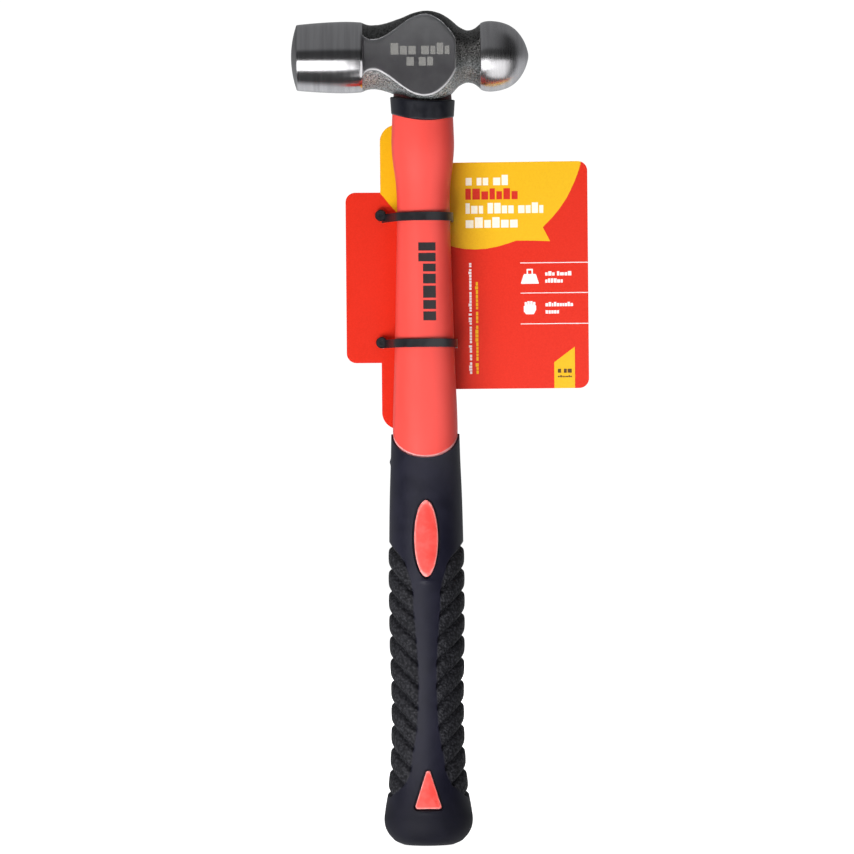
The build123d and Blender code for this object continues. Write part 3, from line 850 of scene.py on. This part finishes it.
def steel_look():
    """Turned and polished ends, satin ground cheeks, and rough forging between, told apart by place."""
    look = Look("forged_steel")
    x, y, z = look.axes()
    side = look.math("ABSOLUTE", y)
    before = look.ramp(x, POLL_END + 0.05, POLL_END + 0.35)
    after = look.ramp(x, BALL_START - 0.25, BALL_START - 0.05, 1.0, 0.0)
    middle = look.times(before, after)
    ground = look.ramp(side, CHEEK - 0.35, CHEEK - 0.2)
    short_of_neck = look.ramp(x, CHEEK_END + 0.1, CHEEK_END + 0.4, 1.0, 0.0)
    cheek = look.times(look.times(ground, short_of_neck), middle)
    rough = look.math("SUBTRACT", middle, cheek)

    speckle = look.noise(0.55, 6.0, 0.7)
    grit = look.ramp(speckle, 0.36, 0.66)
    stain = look.noise(5.0, 4.0)
    rings = look.noise(0.22, 4.0, 0.6, (1, 30, 30))
    wide_rings = look.noise(1.4, 3.0, 0.5, (1, 25, 25))
    brushed = look.noise(0.3, 4.0, 0.6, (1, 1, 18))

    turned_colour = look.tones(wide_rings, rgb(0.54, 0.53, 0.545), rgb(0.64, 0.63, 0.645))
    crown = look.ramp(x, FACE_X + 1.8, FACE_X + 2.6, 1.0, 0.0)
    turned_colour = look.mix(crown, turned_colour, rgb(0.32, 0.315, 0.32))
    # Painted shading on the ground cheek: its colour is lighter towards its top and darker towards its
    # bottom.
    cheek_lit_top = look.tones(stain, rgb(0.64, 0.64, 0.66), rgb(0.72, 0.72, 0.74))
    cheek_shaded_bottom = look.tones(stain, rgb(0.31, 0.3, 0.32), rgb(0.37, 0.36, 0.38))
    cheek_shaded_tone = look.mix(look.ramp(z, HEAD_AXIS - 6.0, HEAD_AXIS + 14.0), cheek_shaded_bottom, cheek_lit_top)
    # Painted highlight along the rounded edge at the bottom of the cheek.
    rounded = look.ramp(side, CHEEK - 0.05, CHEEK - 0.015, 1.0, 0.0)
    low = look.ramp(z, HEAD_AXIS - 1.0, HEAD_AXIS + 1.0, 1.0, 0.0)
    cheek_colour = look.mix(look.times(rounded, low), cheek_shaded_tone, rgb(0.62, 0.61, 0.62))
    # Painted light on the rough necks: they are lighter below the head's axis, and the left neck is lighter
    # than the right. The speckle itself is the forging's own grain.
    under = look.ramp(z, HEAD_AXIS - 6.0, HEAD_AXIS + 1.0, 1.0, 0.0)
    left_lit_underside = look.mix(stain, rgb(0.72, 0.77, 0.78), rgb(0.95, 1.0, 1.0))
    left_grit = look.mix(under, rgb(0.26, 0.26, 0.26), left_lit_underside)
    right_grit = look.mix(under, rgb(0.34, 0.335, 0.325), rgb(0.44, 0.46, 0.46))
    grit_with_painted_light = look.mix(look.ramp(x, 8.0, 14.0), left_grit, right_grit)
    pits = look.mix(under, rgb(0.028, 0.028, 0.027), rgb(0.115, 0.121, 0.123))
    rough_colour = look.mix(grit, pits, grit_with_painted_light)
    colour = look.mix(cheek, turned_colour, cheek_colour)
    colour = look.mix(rough, colour, rough_colour)

    poll_gloss = look.ramp(rings, 0.25, 0.75, 0.16, 0.24)
    ball_gloss = look.ramp(rings, 0.25, 0.75, 0.25, 0.33)
    turned_gloss = look.blend(look.ramp(x, 0.0, 1.0), poll_gloss, ball_gloss)
    turned_gloss = look.blend(crown, turned_gloss, look.ramp(stain, 0.3, 0.7, 0.34, 0.42))
    cheek_gloss = look.ramp(brushed, 0.25, 0.75, 0.44, 0.52)
    rough_gloss = look.ramp(speckle, 0.3, 0.7, 0.42, 0.24)
    gloss = look.blend(rough, look.blend(cheek, turned_gloss, cheek_gloss), rough_gloss)

    lines = look.times(rings, look.math("SUBTRACT", 1.0, middle))
    lines = look.math("ADD", lines, look.times(brushed, cheek))
    fine = look.bump(lines, 0.002)
    pitted = look.bump(look.times(speckle, rough), 0.42, 1.0, fine)
    # Turning and grinding marks run round the head's axis, so highlights draw out along it.
    around = look.node("Tangent", {"direction_type": "RADIAL", "axis": "X"})
    look.set(Base_Color=colour, Metallic=1.0, Roughness=gloss, Normal=pitted)
    look.set(Tangent=around, Anisotropic=0.6, Anisotropic_Rotation=0.25)
    return look.material


def red_plastic_look():
    """Moulded red plastic: a faint flow pattern and a fine matt skin."""
    look = Look("red_plastic")
    flow = look.noise(14.0, 3.0, 0.5, (1, 1, 3))
    fine = look.noise(0.28, 4.0, 0.6)
    scuff = look.noise(2.5, 5.0, 0.65, (1, 1, 2))
    colour = look.tones(flow, rgb(0.78, 0.064, 0.05), rgb(0.84, 0.075, 0.06))
    _, y, z = look.axes()
    # Painted shade on the jacket between the collar and the head.
    painted_shade_above_collar = look.ramp(z, COLLAR_HIGH[2] - 3.2, COLLAR_HIGH[2] - 2.2)
    colour = look.mix(painted_shade_above_collar, colour, rgb(0.045, 0.007, 0.007))
    # Painted highlight along the jacket's edge where it comes out of the grip.
    slope = (GRIP_TOP_SIDE - GRIP_TOP_FRONT) / JACKET_Y_AT_GRIP
    fall = look.times(look.math("ABSOLUTE", y), slope)
    above_grip = look.math("SUBTRACT", look.math("ADD", z, fall), GRIP_TOP_SIDE)
    edge = look.times(look.ramp(above_grip, -0.2, 0.1), look.ramp(above_grip, 0.7, 1.0, 1.0, 0.0))
    edge = look.times(edge, look.ramp(scuff, 0.25, 0.6, 0.55, 1.0))
    colour = look.mix(edge, colour, rgb(0.92, 0.4, 0.4))
    look.set(Base_Color=colour, Roughness=look.ramp(scuff, 0.3, 0.7, 0.40, 0.50))
    look.set(Normal=look.bump(fine, 0.018, 0.8), Specular_IOR_Level=0.45)
    return look.material


def grip_look():
    """Soft black grip: grained where it is ribbed, smooth and a little glossier elsewhere."""
    look = Look("black_grip")
    share = look.node("Attribute", {"attribute_name": "grain"}).outputs["Fac"]
    at = look.scaled([1 / MM] * 3)
    grain = look.node("TexVoronoi", {"feature": "SMOOTH_F1"}, Vector=at, Scale=1.15)
    cells = look.math("ADD", grain.outputs["Distance"], look.times(look.noise(0.5, 4.0), 0.5))
    dust = look.noise(6.0, 4.0, 0.6)
    z = look.axes()[2]
    smooth_colour = look.tones(dust, rgb(0.0072, 0.007, 0.015), rgb(0.0108, 0.0104, 0.0212))
    # Painted shade: the smooth surface is darker towards the butt.
    smooth_colour = look.mix(look.ramp(z, 4.0, 34.0, 0.5, 0.0), smooth_colour, rgb(0.002, 0.002, 0.003))
    raised, hollow = rgb(0.026, 0.026, 0.031), rgb(0.006, 0.006, 0.008)
    colour = look.mix(share, smooth_colour, look.mix(look.ramp(cells, 0.3, 0.9), raised, hollow))
    # The butt is duller than the spine and the neck.
    neck_gloss = look.ramp(dust, 0.3, 0.7, 0.42, 0.50)
    butt_gloss = look.ramp(dust, 0.3, 0.7, 0.64, 0.72)
    smooth_gloss = look.blend(look.ramp(z, 9.0, 17.0, 1.0, 0.0), neck_gloss, butt_gloss)
    gloss = look.blend(share, smooth_gloss, look.ramp(cells, 0.2, 0.9, 0.50, 0.72))
    fine = look.bump(look.noise(0.22, 3.0), 0.02, 0.6)
    leather = look.bump(look.times(cells, share), 0.34, 1.0, fine)
    look.set(Base_Color=colour, Roughness=gloss, Normal=leather, Specular_IOR_Level=0.42)
    return look.material


def island_look():
    """The jacket's plastic where it fills a window: faintly mottled, with a painted highlight along its rim.
    """
    look = Look("red_island")
    rim = look.node("Attribute", {"attribute_name": "rim"}).outputs["Fac"]
    fine = look.noise(0.28, 4.0, 0.6)
    cloud = look.noise(2.6, 3.0, 0.6)
    rim_highlight_breakup = look.noise(1.4, 3.0, 0.6)
    colour = look.mix(look.ramp(cloud, 0.35, 0.7), rgb(0.78, 0.06, 0.048), rgb(0.83, 0.09, 0.076))
    # Painted highlight along the island's rim, broken up by a noise.
    pale = look.times(rim, look.ramp(rim_highlight_breakup, 0.3, 0.6, 0.35, 1.0))
    colour = look.mix(pale, colour, rgb(0.88, 0.3, 0.28))
    look.set(Base_Color=colour, Roughness=look.ramp(cloud, 0.3, 0.7, 0.36, 0.46))
    look.set(Normal=look.bump(fine, 0.018, 0.8), Specular_IOR_Level=0.45)
    return look.material


def collar_look():
    look = Look("collar_rubber")
    marks = look.noise(3.0, 5.0, 0.65)
    low, high = rgb(0.005, 0.0055, 0.009), rgb(0.0085, 0.009, 0.014)
    look.set(Base_Color=look.mix(look.ramp(marks, 0.35, 0.65), low, high))
    look.set(Roughness=look.ramp(marks, 0.3, 0.7, 0.28, 0.40), Specular_IOR_Level=0.5)
    look.set(Normal=look.bump(look.noise(0.35, 4.0, 0.6), 0.02, 0.7))
    return look.material


def card_look():
    """Coated board: printed red on both faces, with a trace of paper grain under the gloss."""
    look = Look("card_print")
    fibre = look.noise(0.6, 5.0, 0.6)
    bumped = look.bump(fibre, 0.012, 0.6, look.bump(look.noise(18.0, 2.0), 0.25, 0.5))
    red = rgb(0.63, 0.0195, 0.006), rgb(0.68, 0.0245, 0.0088)
    return look.finish(fibre, *red, (0.36, 0.46), bumped, 0.22)


def ink_look(name, low, high):
    """Printed ink: nearly even, with the board's grain in its gloss."""
    look = Look(name)
    fibre = look.noise(0.6, 5.0, 0.6)
    return look.finish(fibre, low, high, (0.36, 0.46), look.bump(fibre, 0.012, 0.6), 0.3)


def tie_look():
    look = Look("tie_plastic")
    marks, fine = look.noise(2.0, 4.0, 0.6), look.noise(0.3, 4.0, 0.6)
    black = rgb(0.008, 0.008, 0.01), rgb(0.013, 0.013, 0.016)
    return look.finish(marks, *black, (0.30, 0.44), look.bump(fine, 0.02, 0.6), 0.45)


def resin_look():
    look = Look("eye_resin")
    pool, fine = look.noise(4.0, 4.0, 0.6), look.noise(0.4, 3.0)
    bumped = look.bump(fine, 0.03, 0.5, look.bump(pool, 0.3, 0.8))
    return look.finish(pool, rgb(0.018, 0.018, 0.02), rgb(0.04, 0.039, 0.04), (0.28, 0.50), bumped)


def glass_fibre_look():
    look = Look("fibreglass")
    strands, cloud = look.noise(0.25, 4.0, 0.6, (1, 1, 60)), look.noise(6.0, 3.0)
    colour = look.tones(strands, rgb(0.62, 0.58, 0.4), rgb(0.82, 0.79, 0.62))
    look.set(Base_Color=colour, Roughness=look.ramp(cloud, 0.3, 0.7, 0.30, 0.42))
    look.set(Normal=look.bump(strands, 0.02, 0.7))
    return look.material


def mark_look(name, low, high, gloss=0.5, metallic=0.0):
    """A printed or etched mark with a slightly uneven tone."""
    look = Look(name)
    spots = look.noise(0.5, 5.0, 0.65)
    look.set(Metallic=metallic)
    return look.finish(spots, low, high, (gloss - 0.06, gloss + 0.06), look.bump(spots, 0.006, 0.5))


# ---- values that the materials read from the points ----
def mark_grain(grip):
    """Marks the grip's ribbed panels."""
    co = points_mm(grip)
    mark_points(grip, "grain", panel_share(co[:, 0], co[:, 2]))


def mark_rim(pad, outline, middle):
    """Marks the rim of an island, where its painted highlight goes."""
    co = points_mm(pad)
    turns = np.arctan2(outline[:, 1] - middle, outline[:, 0])
    far = np.hypot(outline[:, 0], outline[:, 1] - middle)
    order = np.argsort(turns)
    turn = np.arctan2(co[:, 2] - middle, co[:, 0])
    limit = np.interp(turn, turns[order], far[order], period=2 * np.pi)
    mark_points(pad, "rim", ease(np.hypot(co[:, 0], co[:, 2] - middle) / limit, 0.86, 0.96))


# ---- build the pieces ----
TIE_EDGE = 0.22  # width of the ties' rounded edges


def build_pieces():
    settle(make_head(), "forged_steel", "hammer", steel_look(), "head")
    settle(make_jacket(), "red_plastic", "hammer", red_plastic_look(), "jacket")
    pad_red = island_look()
    for label, side in (("front", -1), ("back", 1)):
        for shape, outline, middle in windows():
            pad = island(f"{shape}_island_{label}", outline, middle, side)
            mark_rim(pad, outline, middle)
            settle(pad, "red_plastic", "hammer", pad_red)
    grip = make_grip()
    settle(grip, "black_grip", "hammer", grip_look(), "grip")
    mark_grain(grip)
    settle(make_collar(), "collar_rubber", "hammer", collar_look(), "collar")
    nodes = frame["nodes"]
    dress(nodes["card"], card_look())
    tie = tie_look()
    for name in ("upper_tie", "lower_tie"):
        dress(nodes[name], tie)
        soften = nodes[name].modifiers.new("rounded edges", "BEVEL")
        soften.width, soften.segments, soften.angle_limit = TIE_EDGE * MM, 2, math.radians(40)
    dress(nodes["eye_resin"], resin_look())
    dress(nodes["core"], glass_fibre_look())
    make_prints()


# ---- light, floor and camera ----
# In metres from here on, as the frame is.
CAMERA_DISTANCE, CAMERA_ROLL = 1.6, math.radians(0.5)
CAMERA_X, CAMERA_Z = 0.0006, 0.1454
VIEW_WIDTH, SENSOR_MM = 0.2978752, 36.0  # what the square picture spans at the part, and the sensor's width


def make_camera():
    data = bpy.data.cameras.new("camera")
    camera = add_object("camera", data)
    right = Vector((math.cos(CAMERA_ROLL), 0, -math.sin(CAMERA_ROLL)))
    up = Vector((math.sin(CAMERA_ROLL), 0, math.cos(CAMERA_ROLL)))
    back = Vector((0, -1, 0))
    turn = Matrix((right, up, back)).transposed().to_4x4()
    camera.matrix_world = Matrix.Translation((CAMERA_X, -CAMERA_DISTANCE, CAMERA_Z)) @ turn
    data.sensor_width = SENSOR_MM
    data.lens = SENSOR_MM * CAMERA_DISTANCE / VIEW_WIDTH
    data.clip_end = 20
    bpy.context.scene.camera = camera


def softbox(name, place, width, height, power, aim=(0.0, 0.0, 0.17)):
    """A soft panel of light that the camera doesn't see."""
    data = bpy.data.lights.new(name, "AREA")
    data.shape, data.size, data.size_y, data.energy = "RECTANGLE", width, height, power
    lamp = add_object(name, data)
    lamp.location = place
    lamp.rotation_mode = "QUATERNION"
    lamp.rotation_quaternion = (Vector(aim) - Vector(place)).to_track_quat("-Z", "Y")
    lamp.visible_camera = False
    return lamp


# Brightness of the studio round the part, by the turn about X from the front (degrees, up is positive).
SURROUNDINGS = [
    (-180, 0.36), (-160, 0.62), (-140, 0.78), (-116, 0.74), (-104, 0.42), (-92, 0.06), (-58, 0.06),
    (-50, 0.16), (-18, 0.16), (-12, 0.05), (16, 0.05), (26, 0.21), (150, 0.23), (180, 0.34),
]
SKY_TINT = (0.96, 0.98, 1.0)
BACKDROP, FRONT_RIGHT_SHARE = 1.05, 0.12


def make_world():
    """White where the camera looks past the part, and a dim studio for everything else."""
    world = bpy.data.worlds.new("studio")
    bpy.context.scene.world = world
    world.use_nodes = True
    world.node_tree.nodes.clear()
    graph = Graph(world.node_tree, "Generated")
    right, away, up = graph.node("SeparateXYZ", i0=graph.place).outputs
    front = graph.times(away, -1.0)
    turn = graph.math("ARCTAN2", up, front)
    sides = graph.node("ValToRGB", i0=graph.math("MULTIPLY_ADD", turn, 0.5 / math.pi, 0.5))
    stops = sides.color_ramp.elements
    while len(stops) < len(SURROUNDINGS):
        stops.new(0.5)
    for stop, (angle, level) in zip(stops, SURROUNDINGS):
        stop.position = angle / 360 + 0.5
        stop.color = rgb(*(tint * level for tint in SKY_TINT))
    # The studio is darker to the front right.
    at_right = graph.ramp(right, 0.2, 0.6, kind="LINEAR")
    at_front = graph.ramp(front, -0.3, 0.15, kind="LINEAR")
    both = graph.times(at_right, at_front)
    level = graph.ramp(both, 0.0, 1.0, 1.0, FRONT_RIGHT_SHARE, "LINEAR")
    around = graph.node("Background", Color=sides, Strength=level)
    seen = graph.node("Background", Color=rgb(1, 1, 1), Strength=BACKDROP)
    to_camera = graph.node("LightPath").outputs["Is Camera Ray"]
    graph.node("OutputWorld", i0=graph.node("MixShader", i0=to_camera, i1=around, i2=seen))


FLOOR_RADIUS, FLOOR_GAP = 2.5, 0.0002


def make_floor():
    """A pale disc under the butt. It lets light from below through, as a light table does."""
    rim = oval_ring(0.0, FLOOR_RADIUS / MM, FLOOR_RADIUS / MM, 96)
    floor = mesh_object("floor", rim, [tuple(range(len(rim)))])
    floor.location.z = -FLOOR_GAP
    look = Look("floor")
    tone = look.noise(300.0, 2.0)
    colour = look.mix(tone, rgb(0.8, 0.8, 0.8), rgb(0.84, 0.84, 0.84))
    look.set(Base_Color=colour, Roughness=0.9, Emission_Color=rgb(1, 1, 1), Emission_Strength=1.0)
    dress(floor, look.material)
    floor.visible_shadow = floor.visible_glossy = floor.visible_diffuse = False


# Lamps that polished metal doesn't mirror: name, place, width, height, power.
LAMPS = [
    ("right_lamp", (0.56, -0.76, -0.38), 1.1, 0.8, 2.6),
    ("key_lamp", (-0.46, -0.86, -0.26), 0.8, 0.6, 12.0),
    ("top_fill", (-0.2, -0.5, 1.0), 1.0, 0.8, 1.4),
    ("back_fill", (0.5, 1.0, 0.5), 1.0, 0.8, 8.0),
]


def make_lights():
    softbox("key_panel", (-0.43, -0.83, -0.30), 1.05, 0.66, 5.4)
    # A small panel close to the ball, seen only in polished metal.
    ball_panel = softbox("ball_panel", (0.067, -0.076, 0.186), 0.115, 0.14, 0.066, (0.025, 0.0, 0.27))
    ball_panel.visible_diffuse = False
    for lamp in LAMPS:
        softbox(*lamp).visible_glossy = False


build_pieces()
make_camera()
make_world()
make_floor()
make_lights()
bpy.context.scene.view_settings.view_transform = "Standard"
bpy.context.view_layer.update()
